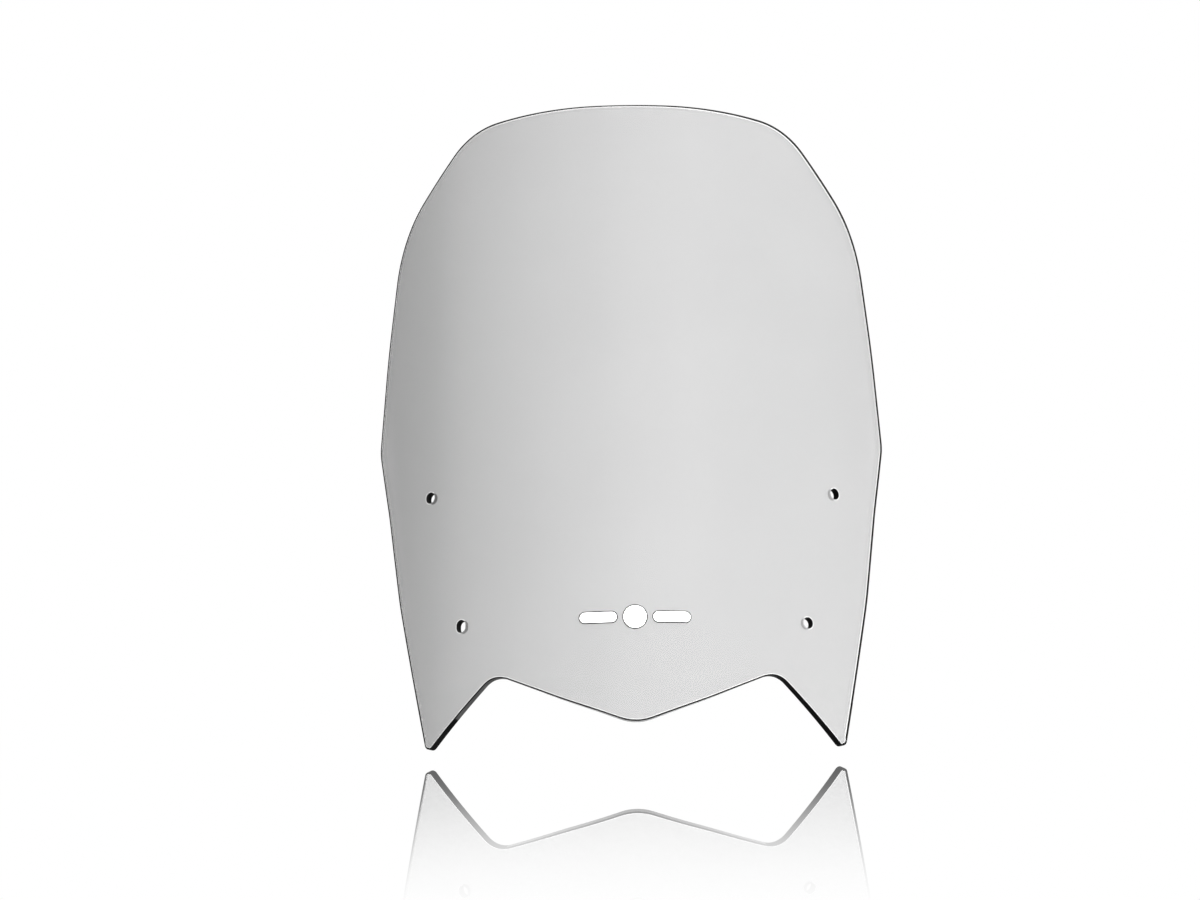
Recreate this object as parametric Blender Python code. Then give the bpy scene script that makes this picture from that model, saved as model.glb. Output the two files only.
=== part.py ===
"""Motorcycle windshield screen: one bent sheet of smoke acrylic with four bolt holes and a mark.

Frame: +Z up, -Y is forward (the outer, convex face), X runs across the screen, and X = 0 is its
plane of symmetry. The origin is the centre of the four bolt holes, on the inner face.

The sheet is laid out flat first. On the flat sheet u runs across, v runs up from the prong tips,
and depth goes into the sheet from its outer face. place() then bends the sheet into its shape.
"""

import math

import bmesh
import bpy
from mathutils import Matrix, Vector
from mathutils.geometry import delaunay_2d_cdt

MM = 0.001

# Sheet
THICKNESS = 5.0 * MM
EDGE_CHAMFER = 0.6 * MM
BEND_RADIUS = 215.0 * MM  # across the screen, at the outer face
BOW_RADIUS = 6160.0 * MM  # up the middle of the screen
RAKE_AT_TIPS = math.radians(18.0)  # the screen leans back, towards +Y

# Outline of the flat sheet, in mm: the right half, clockwise from the top. Each corner is
# (u, v, radius of the round).
TOP_SHOULDER = (57.0, 423.3, 500.0)
TOP_CORNER = (111.3, 416.0, 60.0)
UPPER_SIDE = (173.8, 351.5, 100.0)
MIDDLE_SIDE = (188.2, 271.5, 600.0)
WIDEST_POINT = (196.4, 206.5, 25.0)
LOWER_SIDE = (184.8, 160.0, 300.0)
PRONG_SIDE = (172.6, 98.0, 300.0)
PRONG_TIP = (145.9, -4.7, 4.2)
NOTCH_TOP = (93.4, 41.2, 14.5)
LOWER_EDGE = (47.0, 21.4, 400.0)
LOWER_POINT = (0.0, 3.9, 30.0)

# Bolt holes, in mm on the flat sheet: (u, v, width, height). The lower left one is a slot.
UPPER_RIGHT_HOLE = (144.0, 166.0, 7.0, 7.0)
UPPER_LEFT_HOLE = (-144.0, 166.0, 7.0, 7.0)
LOWER_RIGHT_HOLE = (118.0, 76.0, 7.0, 7.0)
LOWER_LEFT_HOLE = (-118.0, 76.0, 6.5, 8.0)
HOLES = (UPPER_RIGHT_HOLE, UPPER_LEFT_HOLE, LOWER_RIGHT_HOLE, LOWER_LEFT_HOLE)
HOLE_SIDES = 32
SEAT_RADIUS = 9.0 * MM  # a washer's seat around each hole is flat
SEAT_BLEND_RADIUS = 16.0 * MM  # and it has faded into the bend here

# Mark: a disc between two round-ended bars, cut from thin vinyl
MARK_HEIGHT_ON_SHEET = 73.5 * MM  # v of its centre line
MARK_THICKNESS = 0.3 * MM
MARK_GAP = 0.3 * MM
DISC_DIAMETER = 16.0 * MM
BAR_LENGTH = 25.0 * MM
BAR_WIDTH = 8.0 * MM
BAR_OFFSET = 23.5 * MM  # from the disc's centre to the bar's

# Fineness of the mesh
GRID_ACROSS = 10.0 * MM
GRID_UP = 20.0 * MM
EDGE_STEP = 9.0 * MM
ARC_STEP = math.radians(10.0)
CLEARANCE = 5.0 * MM  # between the edges and the nearest grid points


def rake(v):
    return RAKE_AT_TIPS - v / BOW_RADIUS


def bend(u, v, depth):
    """A point of the sheet after bending, with the origin under the middle of the outer face."""
    turn = u / BEND_RADIUS
    lean = rake(v)
    radius = BEND_RADIUS - depth
    fall_back = BEND_RADIUS - radius * math.cos(turn)
    spine_y = BOW_RADIUS * (math.cos(lean) - math.cos(RAKE_AT_TIPS))
    spine_z = BOW_RADIUS * (math.sin(RAKE_AT_TIPS) - math.sin(lean))
    return Vector(
        (
            radius * math.sin(turn),
            spine_y + fall_back * math.cos(lean),
            spine_z - fall_back * math.sin(lean),
        )
    )


def seat_plane(u, v, depth, hole):
    """The same point on the flat seat of a hole, square to the sheet at the hole's centre."""
    hole_u, hole_v = hole[0] * MM, hole[1] * MM
    centre = bend(hole_u, hole_v, 0.0)
    inward = (bend(hole_u, hole_v, THICKNESS) - centre).normalized()
    across = (bend(hole_u + MM, hole_v, 0.0) - centre).cross(inward).cross(-inward)
    across.normalize()
    up = across.cross(-inward).normalized()
    if up.z < 0.0:
        up.negate()
    return centre + across * (u - hole_u) + up * (v - hole_v) + inward * depth


def smooth_step(x):
    x = min(max(x, 0.0), 1.0)
    return x * x * (3.0 - 2.0 * x)


def bend_with_seats(u, v, depth):
    point = bend(u, v, depth)
    for hole in HOLES:
        distance = math.hypot(u - hole[0] * MM, v - hole[1] * MM)
        if distance < SEAT_BLEND_RADIUS:
            spread = SEAT_BLEND_RADIUS - SEAT_RADIUS
            flat = smooth_step((SEAT_BLEND_RADIUS - distance) / spread)
            point = point.lerp(seat_plane(u, v, depth, hole), flat)
    return point


def bolt_centre():
    """The centre of the four bolt holes on the inner face."""
    total = Vector()
    for u, v, _, _ in HOLES:
        total += bend(u * MM, v * MM, THICKNESS)
    return total / len(HOLES)


def place(u, v, depth):
    return bend_with_seats(u, v, depth) - bolt_centre()


def round_corner(before, corner, after, radius):
    """Points of the arc that rounds a corner, from one of its sides to the other."""
    towards_before = (before - corner).normalized()
    towards_after = (after - corner).normalized()
    half = towards_before.angle(towards_after) / 2.0
    middle = (towards_before + towards_after).normalized()
    centre = corner + middle * (radius / math.sin(half))
    start = corner + towards_before * (radius / math.tan(half)) - centre
    end = corner + towards_after * (radius / math.tan(half)) - centre
    turn = math.pi - 2.0 * half
    steps = max(math.ceil(turn / ARC_STEP), math.ceil(turn * radius / EDGE_STEP), 2)
    sweep = -start.angle_signed(end)
    return [centre + Matrix.Rotation(sweep * i / steps, 2) @ start for i in range(steps + 1)]


def spaced(points, step):
    """The same closed line, with its long sides divided."""
    result = []
    for i, point in enumerate(points):
        following = points[(i + 1) % len(points)]
        pieces = max(1, math.ceil((following - point).length / step))
        result += [point.lerp(following, j / pieces) for j in range(pieces)]
    return result


def outline():
    """The rounded outline of the flat sheet, as a closed line of points."""
    right = (
        TOP_SHOULDER,
        TOP_CORNER,
        UPPER_SIDE,
        MIDDLE_SIDE,
        WIDEST_POINT,
        LOWER_SIDE,
        PRONG_SIDE,
        PRONG_TIP,
        NOTCH_TOP,
        LOWER_EDGE,
    )
    left = [(-u, v, radius) for u, v, radius in reversed(right)]
    corners = [*right, LOWER_POINT, *left]
    points = []
    for i, (u, v, radius) in enumerate(corners):
        before = Vector(corners[i - 1][:2]) * MM
        after = Vector(corners[(i + 1) % len(corners)][:2]) * MM
        points += round_corner(before, Vector((u, v)) * MM, after, radius * MM)
    return spaced(points, EDGE_STEP)


def circle(u, v, radius, sides, phase=0.0):
    angles = [2.0 * math.pi * (i + phase) / sides for i in range(sides)]
    return [Vector((u + radius * math.cos(a), v + radius * math.sin(a))) for a in angles]


def round_ended(u, v, width, height, sides):
    """A circle, or a slot with round ends along its longer side."""
    radius = min(width, height) / 2.0
    reach = Vector((width / 2.0 - radius, height / 2.0 - radius))
    points = []
    for point in circle(0.0, 0.0, radius, sides, 0.5):
        end = Vector((math.copysign(reach.x, point.x), math.copysign(reach.y, point.y)))
        points.append(Vector((u, v)) + point + end)
    return points


def inset(points, distance):
    """A clockwise closed line, moved inwards by the same distance everywhere."""
    result = []
    for i, point in enumerate(points):
        before = (point - points[i - 1]).normalized()
        after = (points[(i + 1) % len(points)] - point).normalized()
        along = (before + after).normalized()
        inward = Vector((along.y, -along.x))
        result.append(point + inward * (distance / max(along.dot(before), 0.5)))
    return result


def inside(point, loop):
    found = False
    for i, here in enumerate(loop):
        last = loop[i - 1]
        if (here.y > point.y) != (last.y > point.y):
            crossing = last.x + (here.x - last.x) * (point.y - last.y) / (here.y - last.y)
            if point.x < crossing:
                found = not found
    return found


def distance_to(point, loop):
    nearest = math.inf
    for i, here in enumerate(loop):
        side = here - loop[i - 1]
        share = (point - loop[i - 1]).dot(side) / max(side.length_squared, 1e-18)
        foot = loop[i - 1] + side * min(max(share, 0.0), 1.0)
        nearest = min(nearest, (point - foot).length)
    return nearest


def grid_points(loop):
    """Regular points inside the outline, clear of the edges and of the bolt seats."""
    points = []
    for column in range(-20, 21):
        for row in range(0, 22):
            point = Vector((column * GRID_ACROSS, row * GRID_UP))
            if not inside(point, loop) or distance_to(point, loop) < CLEARANCE:
                continue
            gaps = [math.hypot(point.x - h[0] * MM, point.y - h[1] * MM) for h in HOLES]
            if min(gaps) > SEAT_BLEND_RADIUS + 0.5 * CLEARANCE:
                points.append(point)
    return points


def triangulate(loops, extra):
    """Triangles between the closed lines, with the extra points as corners too."""
    points = []
    sides = []
    for loop in loops:
        first = len(points)
        points += loop
        sides += [(first + i, first + (i + 1) % len(loop)) for i in range(len(loop))]
    points += extra
    verts, _, faces, sources, _, _ = delaunay_2d_cdt(points, sides, [], 1, 1e-7)
    if len(verts) != len(points):
        raise RuntimeError("the flat pattern has crossing or repeated points")
    index = [source[0] for source in sources]
    kept = []
    for face in faces:
        middle = sum((Vector(verts[i]) for i in face), Vector((0.0, 0.0))) / len(face)
        if not any(inside(middle, loop) for loop in loops[1:]):
            kept.append([index[i] for i in face])
    return points, kept


def material(name, colour, roughness, metallic, alpha=1.0):
    made = bpy.data.materials.new(name)
    made.use_nodes = True
    shader = made.node_tree.nodes["Principled BSDF"]
    shader.inputs["Base Color"].default_value = (*colour, 1.0)
    shader.inputs["Roughness"].default_value = roughness
    shader.inputs["Metallic"].default_value = metallic
    shader.inputs["Alpha"].default_value = alpha
    return made


def finish(bm, name, surface):
    """Turn the bmesh into an object whose origin is at the middle of its own box."""
    bmesh.ops.recalc_face_normals(bm, faces=bm.faces)
    low = Vector([min(v.co[i] for v in bm.verts) for i in range(3)])
    high = Vector([max(v.co[i] for v in bm.verts) for i in range(3)])
    middle = (low + high) / 2.0
    bmesh.ops.translate(bm, verts=bm.verts, vec=-middle)
    mesh = bpy.data.meshes.new(name)
    bm.to_mesh(mesh)
    bm.free()
    mesh.shade_smooth()
    mesh.set_sharp_from_angle(angle=math.radians(30.0))
    mesh.materials.append(surface)
    made = bpy.data.objects.new(name, mesh)
    made.location = middle
    bpy.context.scene.collection.objects.link(made)
    return made


def plate(name, loops, extra, thickness, shape, surface, chamfer=0.0):
    """A sheet between closed lines on the flat, outer line first, bent by shape(u, v, depth)."""
    rim = inset(loops[0], chamfer) if chamfer else loops[0]
    points, faces = triangulate([rim, *loops[1:]], extra)
    bm = bmesh.new()
    front = [bm.verts.new(shape(p.x, p.y, 0.0)) for p in points]
    back = [bm.verts.new(shape(p.x, p.y, thickness)) for p in points]
    for face in faces:
        bm.faces.new([front[i] for i in face])
        bm.faces.new([back[i] for i in reversed(face)])
    first = 0
    for loop in loops:
        count = len(loop)
        rows = [front[first : first + count], back[first : first + count]]
        if chamfer and first == 0:
            for depth in (chamfer, thickness - chamfer):
                rows.insert(-1, [bm.verts.new(shape(p.x, p.y, depth)) for p in loop])
        for upper, lower in zip(rows, rows[1:]):
            for i in range(count):
                j = (i + 1) % count
                bm.faces.new((upper[i], upper[j], lower[j], lower[i]))
        first += count
    return finish(bm, name, surface)


def make_panel(surface):
    edge = outline()
    holes = []
    rings = []
    for u, v, width, height in HOLES:
        holes.append(round_ended(u * MM, v * MM, width * MM, height * MM, HOLE_SIDES))
        rings += circle(u * MM, v * MM, SEAT_RADIUS, 24)
        rings += circle(u * MM, v * MM, SEAT_BLEND_RADIUS, 24, 0.5)
    extra = grid_points(inset(edge, EDGE_CHAMFER)) + rings
    return plate(
        "screen_panel", [edge, *holes], extra, THICKNESS, place, surface, EDGE_CHAMFER
    )


def mark_shape(u, v, depth):
    """The mark lies on the outer face, so its depth is counted outwards from the sheet."""
    return place(u, v, depth - MARK_THICKNESS - MARK_GAP)


def make_bar(name, u, surface):
    v = MARK_HEIGHT_ON_SHEET
    loop = round_ended(u, v, BAR_LENGTH, BAR_WIDTH, 24)
    reach = (BAR_LENGTH - BAR_WIDTH) / 2.0
    middle = [Vector((u + reach * i / 4.0, v)) for i in range(-4, 5)]
    edge = spaced(list(reversed(loop)), 3.0 * MM)
    return plate(name, [edge], middle, MARK_THICKNESS, mark_shape, surface)


def make_disc(surface):
    v = MARK_HEIGHT_ON_SHEET
    loop = list(reversed(circle(0.0, v, DISC_DIAMETER / 2.0, 36)))
    middle = [Vector((0.0, v))] + circle(0.0, v, DISC_DIAMETER / 4.0, 12)
    return plate("mark_disc", [loop], middle, MARK_THICKNESS, mark_shape, surface)


def main():
    for old in list(bpy.data.objects):
        bpy.data.objects.remove(old, do_unlink=True)
    acrylic = material("smoke_acrylic", (0.42, 0.43, 0.44), 0.04, 0.0, 0.45)
    vinyl = material("white_vinyl", (0.90, 0.90, 0.90), 0.40, 0.0)
    make_panel(acrylic)
    make_disc(vinyl)
    make_bar("mark_bar_left", -BAR_OFFSET, vinyl)
    make_bar("mark_bar_right", BAR_OFFSET, vinyl)


main()
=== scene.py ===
import math

import bmesh
import bpy
import numpy as np
from mathutils import Matrix, Vector
from mathutils.geometry import delaunay_2d_cdt


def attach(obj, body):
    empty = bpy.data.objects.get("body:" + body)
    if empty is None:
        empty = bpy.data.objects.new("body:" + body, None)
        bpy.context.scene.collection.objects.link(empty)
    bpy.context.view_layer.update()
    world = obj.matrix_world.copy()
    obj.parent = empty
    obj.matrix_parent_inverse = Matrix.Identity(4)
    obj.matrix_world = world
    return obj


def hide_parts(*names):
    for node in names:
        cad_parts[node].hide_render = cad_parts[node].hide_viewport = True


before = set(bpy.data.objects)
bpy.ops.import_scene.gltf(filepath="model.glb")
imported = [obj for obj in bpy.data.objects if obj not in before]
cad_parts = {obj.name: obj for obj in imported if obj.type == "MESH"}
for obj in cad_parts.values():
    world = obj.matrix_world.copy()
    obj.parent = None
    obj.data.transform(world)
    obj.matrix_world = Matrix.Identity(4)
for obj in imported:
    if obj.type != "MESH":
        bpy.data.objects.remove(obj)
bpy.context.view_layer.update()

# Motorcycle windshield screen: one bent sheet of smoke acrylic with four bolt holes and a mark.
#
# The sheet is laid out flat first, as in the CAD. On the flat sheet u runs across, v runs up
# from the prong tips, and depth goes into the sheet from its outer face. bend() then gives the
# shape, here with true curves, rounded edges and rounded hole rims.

MM = 0.001

# Sheet
THICKNESS = 5.0 * MM
BEND_RADIUS = 215.0 * MM
BOW_RADIUS = 6160.0 * MM
RAKE_AT_TIPS = math.radians(18.0)
EDGE_ROUND = 0.6 * MM
DRAWN_IN = 0.22 * MM  # keeps the true curves inside the CAD's straight sides
HOLE_ROUND = 0.3 * MM

# Outline of the flat sheet, in mm: the right half, clockwise from the top. Each corner is
# (u, v, radius of the round).
RIGHT_CORNERS = (
    (57.0, 423.3, 500.0),
    (111.3, 416.0, 60.0),
    (173.8, 351.5, 100.0),
    (188.2, 271.5, 600.0),
    (196.4, 206.5, 25.0),
    (184.8, 160.0, 300.0),
    (172.6, 98.0, 300.0),
    (145.9, -4.7, 4.2),
    (93.4, 41.2, 14.5),
    (47.0, 21.4, 400.0),
)
LOWER_POINT = (0.0, 3.9, 30.0)

# Bolt holes, in mm on the flat sheet: (u, v, width, height). The lower left one is a slot.
HOLES = (
    (144.0, 166.0, 7.0, 7.0),
    (-144.0, 166.0, 7.0, 7.0),
    (118.0, 76.0, 7.0, 7.0),
    (-118.0, 76.0, 6.5, 8.0),
)

# Mark: a disc between two round-ended bars, cut from thin vinyl
MARK_V = 73.5 * MM
MARK_THICKNESS = 0.3 * MM
MARK_LIFT = 0.02 * MM
MARK_ROUND = 0.12 * MM
MARK_BORDER = 0.65 * MM
DISC_DIAMETER = 16.0 * MM
BAR_LENGTH = 25.0 * MM
BAR_WIDTH = 8.0 * MM
BAR_OFFSET = 23.5 * MM

# Stretches of the outline, in mm on the flat sheet. Each u holds on both sides of the middle.
LOWER_EDGE_U = 146.0  # the lower V and the prongs' inner sides are within this u ...
LOWER_EDGE_V = 60.0  # ... and below this v
MIDDLE_U = 85.0  # the lower V alone
GREY_SHADE_V = 17.0  # the left prong's wall is painted grey shade above this v, black shade below
TIP_U = 143.0
TIP_V = 3.0
SATIN_U = 150.0  # the satin stretch, on the right side only
SATIN_V = (30.0, 205.0)
WIDEST_U = 196.0

# Lines painted round the outer face, in mm: a painted highlight, and outside it a dark line of
# painted shade, which grows wider towards the widest point
PAINTED_HIGHLIGHT_LINE = 0.7
LOWER_PAINTED_HIGHLIGHT_LINE = 0.4
HOLE_PAINTED_HIGHLIGHT_LINE = 0.5
PAINTED_SHADE_LINE = 0.25
RIGHT_SHADE_GROWTH = 1.7
LEFT_SHADE_GROWTH = 0.8
PRONG_SHADE_LINE = 0.03
MIDDLE_SHADE_LINE = 0.3
RIGHT_TIP_SHADE_LINE = 1.0
LEFT_TIP_SHADE_LINE = 0.5

# Fineness
SHEET_GRID = 5.0 * MM
MARK_GRID = 1.5 * MM
EDGE_STEP = 2.5 * MM
BAR_STEP = 1.0 * MM
ARC_STEP = math.radians(5.0)
HOLE_SIDES = 48
DISC_SIDES = 64
BAR_SIDES = 48
ROUND_STEPS = 4
RIM_GAP = 0.6  # the room that the grid leaves along a rim, as a share of its step
RING_GAP = 0.35  # and round the rings of points about a hole
RING_GROWTHS = (1.35, 1.8)  # the sizes of those rings, against the hole's
SMALL_STEP = 0.01 * MM  # for measuring the sheet's directions
SAME_POINT = 1e-7

ACRYLIC_IOR = 1.49

# Floor and camera
FLOOR_Z = -0.1258
FLOOR_HALF_SIZE = 6.0
FLOOR_IOR = 1.45
FLOOR_GAIN = 1.65  # how much more the floor mirrors than its IOR gives
MIRROR_FADE = (0.20, 0.68)  # distances from the middle between which the mirror fades out
CAMERA_PLACE = (-0.0212, -1.8541, 0.0730)
CAMERA_ROLL = math.radians(-0.58)
CAMERA_LENS = 85.0
CAMERA_SENSOR = 36.0
CAMERA_REACH = 50.0

# What the gloss mirrors in each direction round the object: degrees from the camera's side,
# towards the right, and the brightness, where the white backdrop is 1.
MIRRORED = (
    (-180, 1.0),
    (-140, 0.9),
    (-110, 0.3),
    (-90, 0.3),
    (-78, 0.7),
    (-68, 1.2),
    (-49, 1.6),
    (-31, 1.9),
    (-14, 2.1),
    (0, 2.4),
    (20, 2.4),
    (37, 2.0),
    (56, 1.6),
    (76, 1.4),
    (90, 1.2),
    (110, 1.0),
    (180, 1.0),
)
MIRRORED_PEAK = 4.0
PLAIN_BELOW = math.radians(9.2)  # the mirrored light is plain white down here
FULL_ABOVE = math.radians(13.5)
MIRRORED_BACKDROP = 2.3  # behind the sheet, as the floor mirrors it

# The softbox that lights every matt surface
KEY_TURN = math.radians(40.0)
KEY_HEIGHT = math.radians(30.0)
KEY_OUTER = math.radians(24.0)
KEY_INNER = math.radians(6.0)
KEY_STRENGTH = 84.0
FILL_STRENGTH = 0.12
HAZE_STRENGTH = 1.0


# ---------------------------------------------------------------- shape of the bent sheet


def bend(u, v, depth):
    """Points of the sheet after bending, as rows of x, y, z."""
    u, v, depth = np.broadcast_arrays(
        np.asarray(u, float), np.asarray(v, float), np.asarray(depth, float)
    )
    turn = u / BEND_RADIUS
    lean = RAKE_AT_TIPS - v / BOW_RADIUS
    radius = BEND_RADIUS - depth
    fall_back = BEND_RADIUS - radius * np.cos(turn)
    spine_y = BOW_RADIUS * (np.cos(lean) - math.cos(RAKE_AT_TIPS))
    spine_z = BOW_RADIUS * (math.sin(RAKE_AT_TIPS) - np.sin(lean))
    return np.stack(
        (
            radius * np.sin(turn),
            spine_y + fall_back * np.cos(lean),
            spine_z - fall_back * np.sin(lean),
        ),
        axis=-1,
    )


BOLT_CENTRE = np.mean([bend(h[0] * MM, h[1] * MM, THICKNESS) for h in HOLES], axis=0)


def place(u, v, depth):
    """Points of the bent sheet, counted from the centre of the bolt holes."""
    return bend(u, v, depth) - BOLT_CENTRE


def unit(vectors):
    return vectors / np.linalg.norm(vectors, axis=-1, keepdims=True)


def directions(u, v, depth):
    """The sheet's across, up and outward directions at each point."""
    step = SMALL_STEP
    across = unit(place(u + step, v, depth) - place(u - step, v, depth))
    up = unit(place(u, v + step, depth) - place(u, v - step, depth))
    return across, up, unit(np.cross(across, up))


# ---------------------------------------------------------------- flat pattern


def round_corner(before, corner, after, radius):
    """Points of the arc that rounds a corner, from one of its sides to the other."""
    towards_before = (before - corner).normalized()
    towards_after = (after - corner).normalized()
    half = towards_before.angle(towards_after) / 2.0
    middle = (towards_before + towards_after).normalized()
    centre = corner + middle * (radius / math.sin(half))
    start = corner + towards_before * (radius / math.tan(half)) - centre
    end = corner + towards_after * (radius / math.tan(half)) - centre
    turn = math.pi - 2.0 * half
    steps = max(math.ceil(turn / ARC_STEP), math.ceil(turn * radius / EDGE_STEP), 2)
    sweep = -start.angle_signed(end)
    turns = [Matrix.Rotation(sweep * i / steps, 2) for i in range(steps + 1)]
    return [centre + rotation @ start for rotation in turns]


def spaced(points, step):
    """The same closed line, with its long sides divided."""
    result = []
    for i, point in enumerate(points):
        following = points[(i + 1) % len(points)]
        pieces = max(1, math.ceil((following - point).length / step))
        result += [point.lerp(following, j / pieces) for j in range(pieces)]
    return result


def outline():
    """The rounded outline of the flat sheet, clockwise."""
    left = [(-u, v, radius) for u, v, radius in reversed(RIGHT_CORNERS)]
    corners = [*RIGHT_CORNERS, LOWER_POINT, *left]
    points = []
    for i, (u, v, radius) in enumerate(corners):
        before = Vector(corners[i - 1][:2]) * MM
        after = Vector(corners[(i + 1) % len(corners)][:2]) * MM
        points += round_corner(before, Vector((u, v)) * MM, after, radius * MM)
    loop = np.array(spaced(points, EDGE_STEP))
    return loop - away(loop) * DRAWN_IN


def round_ended(u, v, width, height, sides):
    """A circle, or a slot with round ends along its longer side, anticlockwise."""
    radius = min(width, height) / 2.0
    reach = np.array((width / 2.0 - radius, height / 2.0 - radius))
    angles = 2.0 * math.pi * (np.arange(sides) + 0.5) / sides
    around = np.stack((np.cos(angles), np.sin(angles)), axis=-1)
    return np.array((u, v)) + around * radius + np.sign(around) * reach


def away(loop):
    """For each point of a closed line, the direction out of the material on its right side."""
    before = unit(loop - np.roll(loop, 1, axis=0))
    after = unit(np.roll(loop, -1, axis=0) - loop)
    along = unit(before + after)
    return np.stack((-along[:, 1], along[:, 0]), axis=-1)


def inside(points, loop):
    """True for the points that are inside the closed line."""
    found = np.zeros(len(points), bool)
    for (x0, y0), (x1, y1) in zip(loop, np.roll(loop, -1, axis=0)):
        spans = (y0 > points[:, 1]) != (y1 > points[:, 1])
        if spans.any():
            share = (points[spans, 1] - y0) / (y1 - y0)
            found[spans] ^= points[spans, 0] < x0 + share * (x1 - x0)
    return found


def clear_of(points, loop, gap):
    """True for the points that are further than gap from every point of the line."""
    result = np.ones(len(points), bool)
    for corner in loop:
        result &= ((points - corner) ** 2).sum(axis=1) > gap * gap
    return result


def grid(low, high, step):
    """Points of a regular grid of triangles over a box."""
    points = []
    for row, v in enumerate(np.arange(low[1], high[1], step * math.sqrt(0.75))):
        offset = 0.5 * step * (row % 2)
        points += [(u + offset, v) for u in np.arange(low[0], high[0], step)]
    return np.array(points)


def free_points(outer, rims, spacing):
    """Points between the rims for triangulate(): a grid, and rings about the holes."""
    extra = grid(outer.min(axis=0), outer.max(axis=0), spacing)
    extra = extra[inside(extra, rims[0])]
    extra = extra[clear_of(extra, rims[0], RIM_GAP * spacing)]
    rings = []
    for rim in rims[1:]:
        extra = extra[~inside(extra, rim)]
        extra = extra[clear_of(extra, rim, RIM_GAP * spacing)]
        middle = rim.mean(axis=0)
        for k, growth in enumerate(RING_GROWTHS):
            ring = middle + (rim - middle) * growth
            rings.append(ring[k % 2 :: 2])
    for ring in rings:
        extra = extra[clear_of(extra, ring, RING_GAP * spacing)]
    return np.concatenate([extra, *rings])


def triangulate(loops, extra):
    """Triangles between the closed lines, with the extra points as corners too."""
    points = np.concatenate([*loops, extra])
    sides = []
    first = 0
    for loop in loops:
        count = len(loop)
        sides += [(first + i, first + (i + 1) % count) for i in range(count)]
        first += count
    flat = [Vector(p) for p in points]
    verts, _, faces, sources, _, _ = delaunay_2d_cdt(flat, sides, [], 1, SAME_POINT)
    if len(verts) != len(points):
        raise RuntimeError("the flat pattern has crossing or repeated points")
    index = np.array([source[0] for source in sources])
    faces = index[np.array(faces)]
    middles = points[faces].mean(axis=1)
    kept = np.ones(len(faces), bool)
    for loop in loops[1:]:
        kept &= ~inside(middles, loop)
    return points, faces[kept]


# ---------------------------------------------------------------- pieces


def rim_profile(rounding, thickness, bands):
    """From the outer face round to the inner one: (drawn back, depth, tilt of the normal).

    The bands are flat strips of the face next to the rounding, the innermost one first.
    """
    outer = []
    for i in range(ROUND_STEPS + 1):
        tilt = 0.5 * math.pi * i / ROUND_STEPS
        outer.append((rounding * (1 - math.sin(tilt)), rounding * (1 - math.cos(tilt)), tilt))
    back = rounding
    for width in reversed(bands):
        back = back + width
        outer.insert(0, (back, 0.0, 0.0))
    inner = [(back, thickness - depth, math.pi - tilt) for back, depth, tilt in outer]
    return outer + inner[::-1]


def plate(name, loops, roundings, bands, spacing, thickness, shift, materials, rim_slot):
    """A bent sheet between closed lines on the flat: the outline, and any holes.

    rim_slot(line, row, rows, point) gives the slot of one face of a line's rim, where row
    counts from the outer face to the inner one.
    """
    outward = [away(loop) for loop in loops]
    profiles = [rim_profile(r, thickness, b) for r, b in zip(roundings, bands)]
    rims = [loop - out * p[0][0] for loop, out, p in zip(loops, outward, profiles)]
    points, faces = triangulate(rims, free_points(loops[0], rims, spacing))
    positions, normals, polygons, slots = [], [], [], []

    def add_row(u, v, depth, tilt, out):
        """Adds points of one depth and tilt, and gives the number of the first of them."""
        across, up, front = directions(u, v, depth)
        side = across * out[:, :1] + up * out[:, 1:]
        positions.append(place(u, v, depth + shift))
        normals.append(front * math.cos(tilt) + side * math.sin(tilt))
        return sum(len(p) for p in positions) - len(u)

    nowhere = np.zeros_like(points)
    front = add_row(points[:, 0], points[:, 1], 0.0, 0.0, nowhere)
    back = add_row(points[:, 0], points[:, 1], thickness, math.pi, nowhere)
    polygons += (faces + front).tolist()
    polygons += (faces[:, ::-1] + back).tolist()
    slots += [0] * (2 * len(faces))
    first = 0
    for number, (loop, out, profile) in enumerate(zip(loops, outward, profiles)):
        count = len(loop)
        rows = [front + first]
        for drawn_back, depth, tilt in profile[1:-1]:
            line = loop - out * drawn_back
            rows.append(add_row(line[:, 0], line[:, 1], depth, tilt, out))
        rows.append(back + first)
        for k, (upper, lower) in enumerate(zip(rows, rows[1:])):
            for i in range(count):
                j = (i + 1) % count
                polygons.append((upper + i, upper + j, lower + j, lower + i))
                slots.append(rim_slot(number, k, len(rows) - 1, loop[i]))
        first += count
    mesh = bpy.data.meshes.new(name)
    mesh.from_pydata(np.concatenate(positions).tolist(), [], polygons)
    for material in materials:
        mesh.materials.append(material)
    mesh.polygons.foreach_set("material_index", slots)
    mesh.update()
    mesh.shade_smooth()
    mesh.normals_split_custom_set_from_vertices(np.concatenate(normals).tolist())
    made = bpy.data.objects.new(name, mesh)
    bpy.context.scene.collection.objects.link(made)
    return made


# ---------------------------------------------------------------- materials


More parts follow.
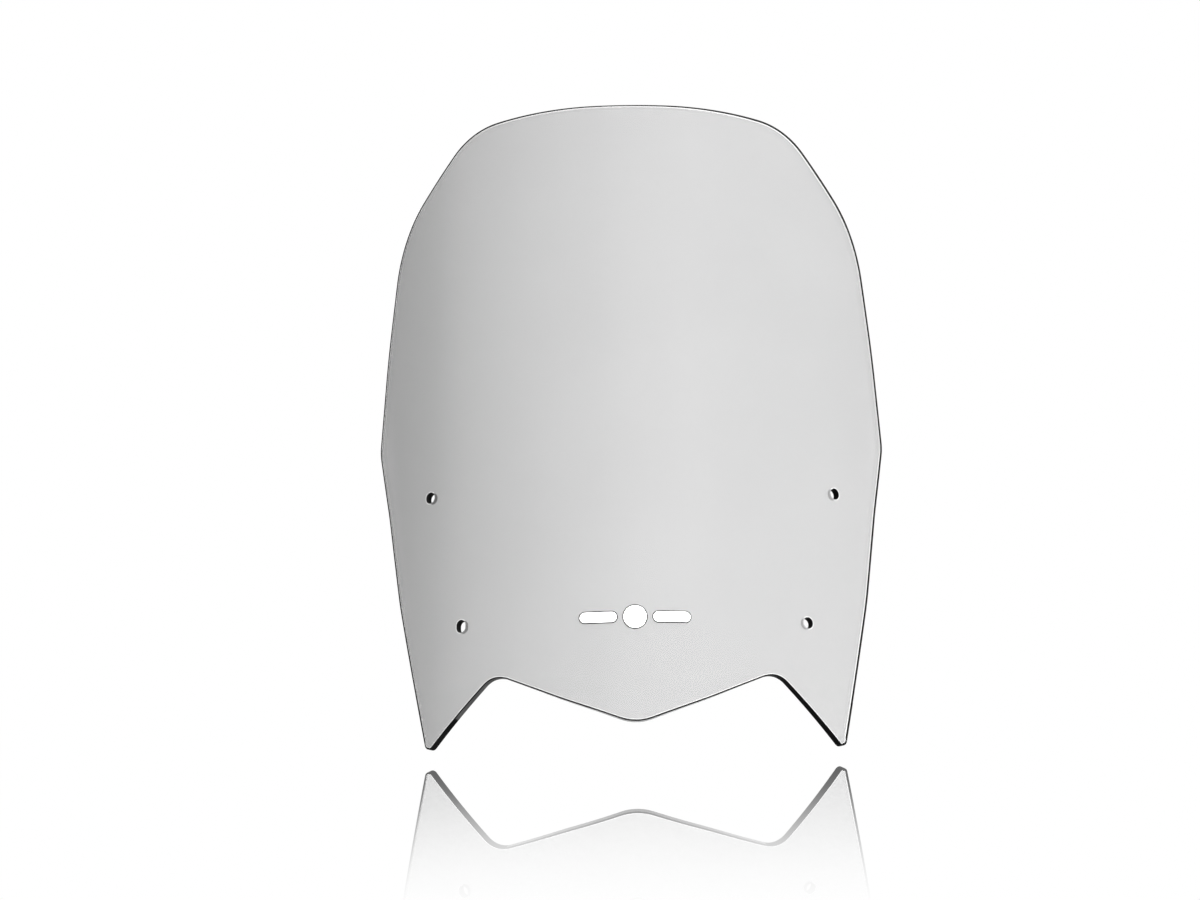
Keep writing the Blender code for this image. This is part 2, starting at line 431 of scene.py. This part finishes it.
class Nodes:
    """Short names for making the nodes of a material or of the world."""

    def __init__(self, tree):
        self.tree = tree

    def new(self, kind, **settings):
        node = self.tree.nodes.new(kind)
        for key, value in settings.items():
            setattr(node, key, value)
        return node

    def link(self, source, target):
        self.tree.links.new(source, target)

    def put(self, value, socket):
        """Sets a socket to a number or a colour, or links it to another node's output."""
        if isinstance(value, (int, float)):
            socket.default_value = value
        elif isinstance(value, tuple):
            socket.default_value = (*value, 1.0)
        else:
            self.link(value, socket)

    def remap(self, value, low, high, to_low, to_high):
        node = self.new("ShaderNodeMapRange", interpolation_type="SMOOTHSTEP")
        self.put(value, node.inputs["Value"])
        self.put(low, node.inputs["From Min"])
        self.put(high, node.inputs["From Max"])
        self.put(to_low, node.inputs["To Min"])
        self.put(to_high, node.inputs["To Max"])
        return node.outputs["Result"]

    def math(self, operation, a, b):
        node = self.new("ShaderNodeMath", operation=operation)
        self.put(a, node.inputs[0])
        self.put(b, node.inputs[1])
        return node.outputs["Value"]

    def choose(self, switch, if_on, if_off):
        """One of two numbers, or a blend of them where the switch is between 0 and 1."""
        node = self.new("ShaderNodeMix")
        self.put(switch, node.inputs["Factor"])
        self.put(if_off, node.inputs["A"])
        self.put(if_on, node.inputs["B"])
        return node.outputs["Result"]


class Material(Nodes):
    """A material in the making, with its shader and the object's own coordinates."""

    def __init__(self, name):
        self.material = bpy.data.materials.new(name)
        self.material.use_nodes = True
        super().__init__(self.material.node_tree)
        self.shader = self.tree.nodes["Principled BSDF"]
        self.coordinates = self.new("ShaderNodeTexCoord").outputs["Object"]

    def noise(self, scale, detail=2.0, roughness=0.5, coordinates=None):
        node = self.new("ShaderNodeTexNoise")
        self.put(scale, node.inputs["Scale"])
        self.put(detail, node.inputs["Detail"])
        self.put(roughness, node.inputs["Roughness"])
        self.link(coordinates or self.coordinates, node.inputs["Vector"])
        return node.outputs["Fac"]

    def cut_lines(self):
        """Noise drawn out along the cut of an edge, as a saw and a scraper leave it."""
        node = self.new("ShaderNodeMapping")
        node.inputs["Scale"].default_value = (900.0, 900.0, 2600.0)
        self.link(self.coordinates, node.inputs["Vector"])
        return self.noise(1.0, 3.0, 0.6, node.outputs["Vector"])

    def mix(self, share, a, b):
        """A colour between two others."""
        node = self.new("ShaderNodeMix", data_type="RGBA")
        self.link(share, node.inputs["Factor"])
        for name, colour in (("A", a), ("B", b)):
            socket = next(s for s in node.inputs if s.name == name and s.type == "RGBA")
            self.put(colour, socket)
        return next(s for s in node.outputs if s.type == "RGBA")

    def bump(self, height, distance):
        node = self.new("ShaderNodeBump")
        self.put(height, node.inputs["Height"])
        self.put(distance, node.inputs["Distance"])
        return node.outputs["Normal"]

    def finish(self, values):
        """Sets the shader's sockets, and gives the material."""
        for name, value in values.items():
            self.put(value, self.shader.inputs[name])
        return self.material


def grey(value):
    return (value, value, value)


def smoke_faces():
    """The sheet's two faces: clear, tinted, slightly wavy from the bending oven."""
    n = Material("smoke_acrylic_face")
    cloud = n.noise(9.0, 3.0)
    haze = n.noise(35.0, 4.0, 0.6)
    waves = n.noise(14.0, 1.0)
    return n.finish(
        {
            "Base Color": n.mix(cloud, grey(0.362), grey(0.398)),
            "Roughness": n.remap(haze, 0.35, 0.7, 0.0, 0.003),
            "IOR": ACRYLIC_IOR,
            "Transmission Weight": 0.88,
            "Normal": n.bump(waves, 0.12 * MM),
        }
    )


def painted_highlight_rim():
    """A painted highlight: a pale, lightly tinted clear band standing in for the line of light
    where the polish of a face meets its edge.
    """
    n = Material("smoke_acrylic_painted_highlight")
    return n.finish(
        {
            "Base Color": n.mix(n.noise(80.0), grey(0.88), grey(0.95)),
            "Roughness": n.remap(n.noise(150.0), 0.3, 0.7, 0.0, 0.003),
            "IOR": ACRYLIC_IOR,
            "Transmission Weight": 0.9,
        }
    )


def clear_wall(name, roughness):
    """A polished edge: light passes through it, with fine lines along the cut."""
    n = Material(name)
    lines = n.cut_lines()
    return n.finish(
        {
            "Base Color": n.mix(n.noise(60.0, 3.0), grey(0.3), grey(0.5)),
            "Roughness": n.remap(lines, 0.3, 0.7, roughness, roughness + 0.15),
            "IOR": ACRYLIC_IOR,
            "Transmission Weight": 0.95,
            "Normal": n.bump(lines, 0.03 * MM),
        }
    )


def painted_shade_edge(name, dark, light, roughness, shine):
    """A sawn and scraped edge, with fine lines along the cut, coloured black or grey as painted
    shade.
    """
    n = Material(name)
    lines = n.cut_lines()
    patches = n.remap(n.noise(60.0, 3.0), 0.35, 0.65, 0.0, 1.0)
    return n.finish(
        {
            "Base Color": n.mix(patches, grey(dark), grey(light)),
            "Roughness": n.remap(lines, 0.3, 0.7, roughness, roughness + 0.15),
            "IOR": ACRYLIC_IOR,
            "Specular IOR Level": shine,
            "Normal": n.bump(lines, 0.03 * MM),
        }
    )


def white_vinyl():
    n = Material("white_vinyl")
    grain = n.noise(2200.0)
    dirt = n.noise(120.0, 3.0)
    return n.finish(
        {
            "Base Color": n.mix(dirt, (0.86, 0.86, 0.855), (0.93, 0.93, 0.925)),
            "Roughness": n.remap(grain, 0.3, 0.7, 0.35, 0.5),
            "Normal": n.bump(grain, 0.01 * MM),
        }
    )


def vinyl_border():
    """The thin dark border of the mark."""
    n = Material("vinyl_border")
    grain = n.noise(1500.0)
    return n.finish(
        {
            "Base Color": n.mix(grain, grey(0.002), grey(0.004)),
            "Roughness": n.remap(grain, 0.3, 0.7, 0.4, 0.6),
            "Specular IOR Level": 0.03,
        }
    )


# ---------------------------------------------------------------- the screen and its mark


# Slots of the sheet, in the order of make_screen()'s materials
# The highlight slot paints a highlight; the prong, grey and black slots paint shade onto clear
# edges.
FACE, PAINTED_HIGHLIGHT, EDGE, PRONG_WALL_SHADE, GREY_WALL_SHADE, SATIN_EDGE, BLACK_SHADE = range(7)

# Slots of the mark
VINYL, BORDER = range(2)


def on_lower_edge(u, v):
    """True on the lower V and the prongs' inner sides."""
    return (v < LOWER_EDGE_V) & (np.abs(u) < LOWER_EDGE_U)


def sheet_rim_slot(number, row, rows, point):
    """The material of one face of the sheet's edge (number 0) or of a hole's wall; some are
    painted highlight or painted shade.
    """
    bands = 1 if number else 2
    # Row 0 is the band of painted highlight on the face.
    if row == 0:
        return PAINTED_HIGHLIGHT
    if row >= rows - bands:
        return FACE
    # Hole walls and their roundings are painted black shade.
    if number:
        return BLACK_SHADE
    u, v = point / MM
    outer_rounding = row < bands + ROUND_STEPS
    # The dark band, the outer roundings and the prongs' walls are painted black or grey shade;
    # the polished and satin walls are clear.
    if on_lower_edge(u, v):
        if outer_rounding:
            return BLACK_SHADE
        # The lower V's wall takes the painted highlight.
        if abs(u) < MIDDLE_U:
            return PAINTED_HIGHLIGHT
        if row >= rows - bands - ROUND_STEPS:
            return BLACK_SHADE
        return GREY_WALL_SHADE if u < 0.0 and v > GREY_SHADE_V else PRONG_WALL_SHADE
    if row == 1:
        return BLACK_SHADE
    if u > SATIN_U and SATIN_V[0] < v < SATIN_V[1]:
        return SATIN_EDGE
    return BLACK_SHADE if outer_rounding else EDGE


def outline_bands(sheet):
    """Widths of the painted highlight line and the painted shade line round the sheet, along
    its outline.
    """
    u, v = sheet[:, :1] / MM, sheet[:, 1:] / MM
    right = u > 0.0
    growth = np.where(right, RIGHT_SHADE_GROWTH, LEFT_SHADE_GROWTH)
    dark = PAINTED_SHADE_LINE + growth * (np.abs(u) / WIDEST_U)
    lower = on_lower_edge(u, v)
    dark = np.where(lower, PRONG_SHADE_LINE, dark)
    dark = np.where(lower & (np.abs(u) < MIDDLE_U), MIDDLE_SHADE_LINE, dark)
    tips = (v < TIP_V) & (np.abs(u) > TIP_U)
    dark = np.where(tips, np.where(right, RIGHT_TIP_SHADE_LINE, LEFT_TIP_SHADE_LINE), dark)
    bright = np.where(lower, LOWER_PAINTED_HIGHLIGHT_LINE, PAINTED_HIGHLIGHT_LINE)
    return [bright * MM, dark * MM]


def make_screen():
    sheet = outline()
    holes = [round_ended(u * MM, v * MM, w * MM, h * MM, HOLE_SIDES) for u, v, w, h in HOLES]
    materials = [
        smoke_faces(),
        # The band of painted highlight.
        painted_highlight_rim(),
        clear_wall("cut_edge_polished", roughness=0.25),
        # Walls painted near-black shade.
        painted_shade_edge("cut_edge_painted_deep_shade", dark=0.0005, light=0.0015, roughness=0.3, shine=0.015),
        # Walls painted grey shade.
        painted_shade_edge("cut_edge_painted_grey_shade", dark=0.012, light=0.022, roughness=0.4, shine=0.12),
        clear_wall("cut_edge_satin", roughness=0.35),
        # Walls and roundings painted black shade.
        painted_shade_edge("cut_edge_painted_black_shade", dark=0.001, light=0.003, roughness=0.35, shine=0.02),
    ]
    return plate(
        "screen",
        [sheet, *holes],
        [EDGE_ROUND] + [HOLE_ROUND] * len(holes),
        # A painted highlight ring round each hole.
        [outline_bands(sheet)] + [[HOLE_PAINTED_HIGHLIGHT_LINE * MM]] * len(holes),
        SHEET_GRID,
        THICKNESS,
        0.0,
        materials,
        sheet_rim_slot,
    )


def make_mark(name, loop, materials):
    return plate(
        name,
        [loop[::-1]],
        [MARK_ROUND],
        [[MARK_BORDER]],
        MARK_GRID,
        MARK_THICKNESS,
        -MARK_THICKNESS - MARK_LIFT,
        materials,
        lambda *_: BORDER,
    )


screen = make_screen()
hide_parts("screen_panel")
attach(screen, "root")

vinyl = [white_vinyl(), vinyl_border()]
disc = round_ended(0.0, MARK_V, DISC_DIAMETER, DISC_DIAMETER, DISC_SIDES)
marks = {"mark_disc": make_mark("vinyl_disc", disc, vinyl)}
for side, u in (("left", -BAR_OFFSET), ("right", BAR_OFFSET)):
    bar = round_ended(u, MARK_V, BAR_LENGTH, BAR_WIDTH, BAR_SIDES)
    bar = np.array(spaced([Vector(p) for p in bar], BAR_STEP))
    marks["mark_bar_" + side] = make_mark("vinyl_bar_" + side, bar, vinyl)
for node, piece in marks.items():
    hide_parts(node)
    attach(piece, "root")


# ---------------------------------------------------------------- stage, light and camera


def make_floor():
    """A white floor that mirrors the object, less and less with the distance."""
    bm = bmesh.new()
    square = ((-1, -1), (1, -1), (1, 1), (-1, 1))
    bm.faces.new(
        [bm.verts.new((x * FLOOR_HALF_SIZE, y * FLOOR_HALF_SIZE, FLOOR_Z)) for x, y in square]
    )
    mesh = bpy.data.meshes.new("floor")
    bm.to_mesh(mesh)
    bm.free()
    floor = bpy.data.objects.new("floor", mesh)
    bpy.context.scene.collection.objects.link(floor)
    n = Material("floor")
    n.tree.nodes.remove(n.shader)
    glow = n.new("ShaderNodeEmission")
    n.put(grey(1.0), glow.inputs["Color"])
    mirror = n.new("ShaderNodeBsdfGlossy")
    n.put(grey(1.0), mirror.inputs["Color"])
    n.put(0.0, mirror.inputs["Roughness"])
    distance = n.new("ShaderNodeVectorMath", operation="LENGTH")
    n.link(n.coordinates, distance.inputs[0])
    fade = n.remap(distance.outputs["Value"], *MIRROR_FADE, 1.0, 0.0)
    shine = n.new("ShaderNodeFresnel")
    n.put(FLOOR_IOR, shine.inputs["IOR"])
    strong = n.math("MINIMUM", n.math("MULTIPLY", shine.outputs["Fac"], FLOOR_GAIN), 1.0)
    both = n.new("ShaderNodeMixShader")
    n.link(n.math("MULTIPLY", fade, strong), both.inputs["Fac"])
    n.link(glow.outputs[0], both.inputs[1])
    n.link(mirror.outputs[0], both.inputs[2])
    n.link(both.outputs[0], n.tree.nodes["Material Output"].inputs["Surface"])
    mesh.materials.append(n.material)
    return floor


def mirrored_around(n, across, back):
    """The brightness that the gloss mirrors, by the direction round the object."""
    turn = n.math("ARCTAN2", across, n.math("MULTIPLY", back, -1.0))
    curve = n.new("ShaderNodeFloatCurve")
    points = curve.mapping.curves[0].points
    stops = [(angle / 360.0 + 0.5, bright / MIRRORED_PEAK) for angle, bright in MIRRORED]
    points[0].location = stops[0]
    points[1].location = stops[-1]
    for stop in stops[1:-1]:
        points.new(*stop)
    curve.mapping.update()
    share = n.math("ADD", n.math("DIVIDE", turn, 2.0 * math.pi), 0.5)
    n.link(share, curve.inputs["Value"])
    return n.math("MULTIPLY", curve.outputs["Value"], MIRRORED_PEAK)


def softbox(n, direction):
    """The key light, with a soft edge, and the fill all round it."""
    facing = n.new("ShaderNodeVectorMath", operation="DOT_PRODUCT")
    n.link(direction, facing.inputs[0])
    facing.inputs[1].default_value = (
        math.sin(KEY_TURN) * math.cos(KEY_HEIGHT),
        -math.cos(KEY_TURN) * math.cos(KEY_HEIGHT),
        math.sin(KEY_HEIGHT),
    )
    edge = (math.cos(KEY_OUTER), math.cos(KEY_INNER))
    return n.remap(facing.outputs["Value"], *edge, FILL_STRENGTH, KEY_STRENGTH)


def make_world():
    """White for the camera, a shaded studio for the gloss, and a softbox for matt surfaces."""
    world = bpy.data.worlds.new("studio")
    world.use_nodes = True
    bpy.context.scene.world = world
    n = Nodes(world.node_tree)
    direction = n.new("ShaderNodeTexCoord").outputs["Generated"]
    parts = n.new("ShaderNodeSeparateXYZ")
    n.link(direction, parts.inputs[0])
    around = mirrored_around(n, parts.outputs["X"], parts.outputs["Y"])
    plain, full = math.sin(PLAIN_BELOW), math.sin(FULL_ABOVE)
    height = n.remap(parts.outputs["Z"], plain, full, 0.0, 1.0)

    path = n.new("ShaderNodeLightPath").outputs
    through = path["Is Transmission Ray"]
    scattered = n.math("GREATER_THAN", path["Diffuse Depth"], 0.5)
    reflected = n.math("GREATER_THAN", path["Glossy Depth"], 0.5)

    haze = n.math("MULTIPLY", through, scattered)
    light = n.choose(haze, HAZE_STRENGTH, softbox(n, direction))
    mirrored = n.choose(height, around, n.choose(through, MIRRORED_BACKDROP, 1.0))
    light = n.choose(n.math("MAXIMUM", path["Is Glossy Ray"], reflected), mirrored, light)
    bounced = n.math("MAXIMUM", scattered, reflected)
    straight = n.math("MULTIPLY", through, n.math("SUBTRACT", 1.0, bounced))
    backdrop = n.math("MAXIMUM", path["Is Camera Ray"], straight)

    background = n.tree.nodes["Background"]
    n.put(grey(1.0), background.inputs["Color"])
    n.link(n.choose(backdrop, 1.0, light), background.inputs["Strength"])


def make_camera():
    data = bpy.data.cameras.new("camera")
    data.lens = CAMERA_LENS
    data.sensor_width = CAMERA_SENSOR
    data.clip_end = CAMERA_REACH
    camera = bpy.data.objects.new("camera", data)
    camera.matrix_world = (
        Matrix.Translation(CAMERA_PLACE)
        @ Matrix.Rotation(math.radians(90.0), 4, "X")
        @ Matrix.Rotation(CAMERA_ROLL, 4, "Z")
    )
    bpy.context.scene.collection.objects.link(camera)
    bpy.context.scene.camera = camera


make_floor()
make_world()
make_camera()
bpy.context.scene.view_settings.view_transform = "Standard"
bpy.context.scene.view_settings.look = "None"
